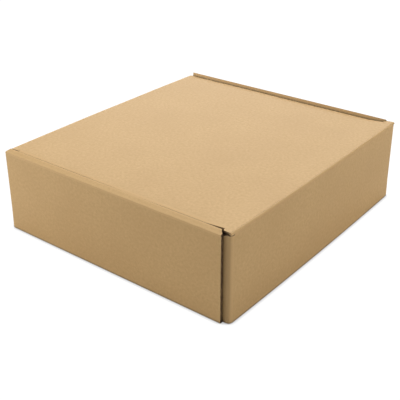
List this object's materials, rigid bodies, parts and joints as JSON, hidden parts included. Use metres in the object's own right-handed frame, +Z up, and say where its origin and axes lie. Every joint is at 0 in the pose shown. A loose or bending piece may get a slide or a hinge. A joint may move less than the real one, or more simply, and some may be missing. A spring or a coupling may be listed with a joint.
{
  "type": "closed cardboard box",
  "caption": "Shallow corrugated mailing box with rolled double side walls, sandwiched corner flaps and a hinged lid that tucks in behind the front wall.",
  "frame": {"origin": "middle of the base's underside, on the surface that the box stands on", "axes": "+Z up; +X towards the back wall that carries the lid's hinge, -X towards the front wall behind which the lid tucks in; +Y across the box from one rolled side wall to the other"},
  "size_m": [0.3, 0.326, 0.0955],
  "materials": {
    "tray_board": "matte brown kraft liner on corrugated board",
    "lid_board": "matte brown kraft liner on corrugated board"
  },
  "bodies": {
    "tray": {"tray": "tray_board"},
    "lid": {"lid": "lid_board"}
  },
  "joints": [
    {"name": "lid_hinge", "type": "hinge", "parent": "tray", "child": "lid", "pos_m": [0.1485, 0, 0.0925], "axis": [0, 1, 0], "range_deg": [0, 180]}
  ]
}
